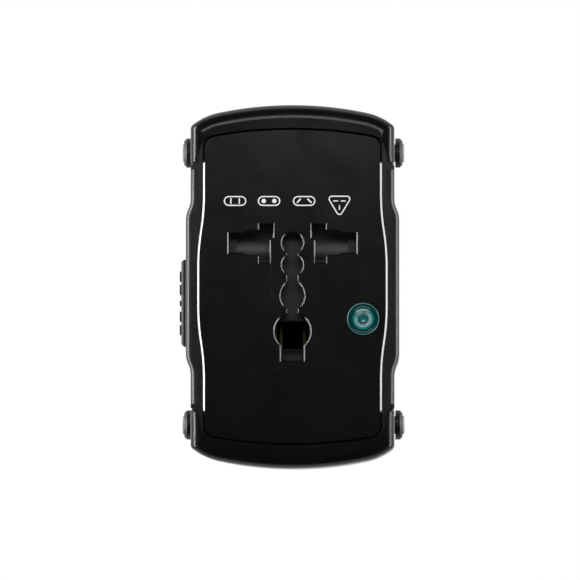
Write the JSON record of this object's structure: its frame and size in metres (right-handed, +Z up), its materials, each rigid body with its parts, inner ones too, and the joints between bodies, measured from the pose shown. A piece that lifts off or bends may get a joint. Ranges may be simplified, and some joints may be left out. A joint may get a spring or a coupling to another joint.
{
  "type": "travel adapter",
  "caption": "Black all-in-one travel plug adapter: universal socket face with shutter, indicator lens, and sliding British, continental and American plugs.",
  "frame": {"origin": "middle of the footprint, under the lowest point of the lower end cap", "axes": "+X to the right as the socket face is looked at, +Y out of the rear face where the plugs leave, +Z up"},
  "size_m": [0.0514, 0.054, 0.0824],
  "materials": {
    "panel_gloss": "gloss",
    "case_black": "satin",
    "cap_black": "satin",
    "grip_black": "satin",
    "button_grey": "satin",
    "lens_teal": "clear gloss",
    "led_green": "gloss",
    "board_green": "solder mask",
    "resistor_blue": "lacquer",
    "insulator_grey": "moulded",
    "carriage_black": "moulded",
    "brass": "stamped",
    "nickel": "plated",
    "sleeve_black": "moulded",
    "ceramic_white": "glazed",
    "steel": "zinc"
  },
  "bodies": {
    "housing": {"front_panel": "panel_gloss", "front_frame": "case_black", "rear_shell": "case_black", "top_end_cap": "cap_black", "bottom_end_cap": "cap_black", "led_lens": "lens_teal", "indicator_led": "led_green", "circuit_board": "board_green", "board_resistors": "resistor_blue", "contact_block": "insulator_grey", "earth_block": "insulator_grey", "fuse_tray": "insulator_grey", "line_contact": "brass", "neutral_contact": "brass", "earth_contact": "brass", "line_bus_bar": "brass", "neutral_bus_bar": "brass", "earth_bus_bar": "brass", "fuse": "ceramic_white", "fuse_end_caps": "nickel", "fuse_clips": "brass", "housing_screws": "steel", "shutter_spring": "steel"},
    "shutter": {"shutter": "insulator_grey"},
    "uk_plug": {"uk_carriage": "carriage_black", "uk_line_pin": "brass", "uk_neutral_pin": "brass", "uk_earth_pin": "brass", "uk_pin_sleeves": "sleeve_black", "uk_wipers": "brass", "uk_slider_grip": "grip_black"},
    "eu_plug": {"eu_carriage": "carriage_black", "eu_left_pin": "nickel", "eu_right_pin": "nickel", "eu_pin_sleeves": "sleeve_black", "eu_wipers": "brass", "eu_left_knob": "grip_black", "eu_right_knob": "grip_black", "eu_left_button_spring": "steel", "eu_right_button_spring": "steel"},
    "us_plug": {"us_carriage": "carriage_black", "us_wipers": "brass", "us_left_knob": "grip_black", "us_right_knob": "grip_black", "us_left_button_spring": "steel", "us_right_button_spring": "steel"},
    "us_left_blade": {"us_left_turret": "carriage_black", "us_left_blade": "nickel"},
    "us_right_blade": {"us_right_turret": "carriage_black", "us_right_blade": "nickel"},
    "eu_left_button": {"eu_left_button": "button_grey"},
    "eu_right_button": {"eu_right_button": "button_grey"},
    "us_left_button": {"us_left_button": "button_grey"},
    "us_right_button": {"us_right_button": "button_grey"}
  },
  "joints": [
    {"name": "uk_plug_slide", "type": "slide", "parent": "housing", "child": "uk_plug", "axis": [0, 1, 0], "range_m": [0, 0.023]},
    {"name": "eu_plug_slide", "type": "slide", "parent": "housing", "child": "eu_plug", "axis": [0, 1, 0], "range_m": [0, 0.0193]},
    {"name": "us_plug_slide", "type": "slide", "parent": "housing", "child": "us_plug", "axis": [0, 1, 0], "range_m": [0, 0.0176]},
    {"name": "us_left_blade_twist", "type": "hinge", "parent": "us_plug", "child": "us_left_blade", "pos_m": [-0.00635, 0.0067, 0.0101], "axis": [0, 1, 0], "range_deg": [0, 30]},
    {"name": "us_right_blade_twist", "type": "hinge", "parent": "us_plug", "child": "us_right_blade", "pos_m": [0.00635, 0.0067, 0.0101], "axis": [0, -1, 0], "range_deg": [0, 30]},
    {"name": "shutter_slide", "type": "slide", "parent": "housing", "child": "shutter", "axis": [0, 0, -1], "range_m": [0, 0.0086], "stiffness_N_per_m": 60, "springref_m": -0.004, "deforming": ["shutter_spring"]},
    {"name": "eu_left_button_press", "type": "slide", "parent": "eu_plug", "child": "eu_left_button", "axis": [1, 0, 0], "range_m": [0, 0.0006], "stiffness_N_per_m": 800, "springref_m": -0.001, "deforming": ["eu_left_button_spring"]},
    {"name": "eu_right_button_press", "type": "slide", "parent": "eu_plug", "child": "eu_right_button", "axis": [-1, 0, 0], "range_m": [0, 0.0006], "stiffness_N_per_m": 800, "springref_m": -0.001, "deforming": ["eu_right_button_spring"]},
    {"name": "us_left_button_press", "type": "slide", "parent": "us_plug", "child": "us_left_button", "axis": [1, 0, 0], "range_m": [0, 0.0006], "stiffness_N_per_m": 800, "springref_m": -0.001, "deforming": ["us_left_button_spring"]},
    {"name": "us_right_button_press", "type": "slide", "parent": "us_plug", "child": "us_right_button", "axis": [-1, 0, 0], "range_m": [0, 0.0006], "stiffness_N_per_m": 800, "springref_m": -0.001, "deforming": ["us_right_button_spring"]}
  ]
}
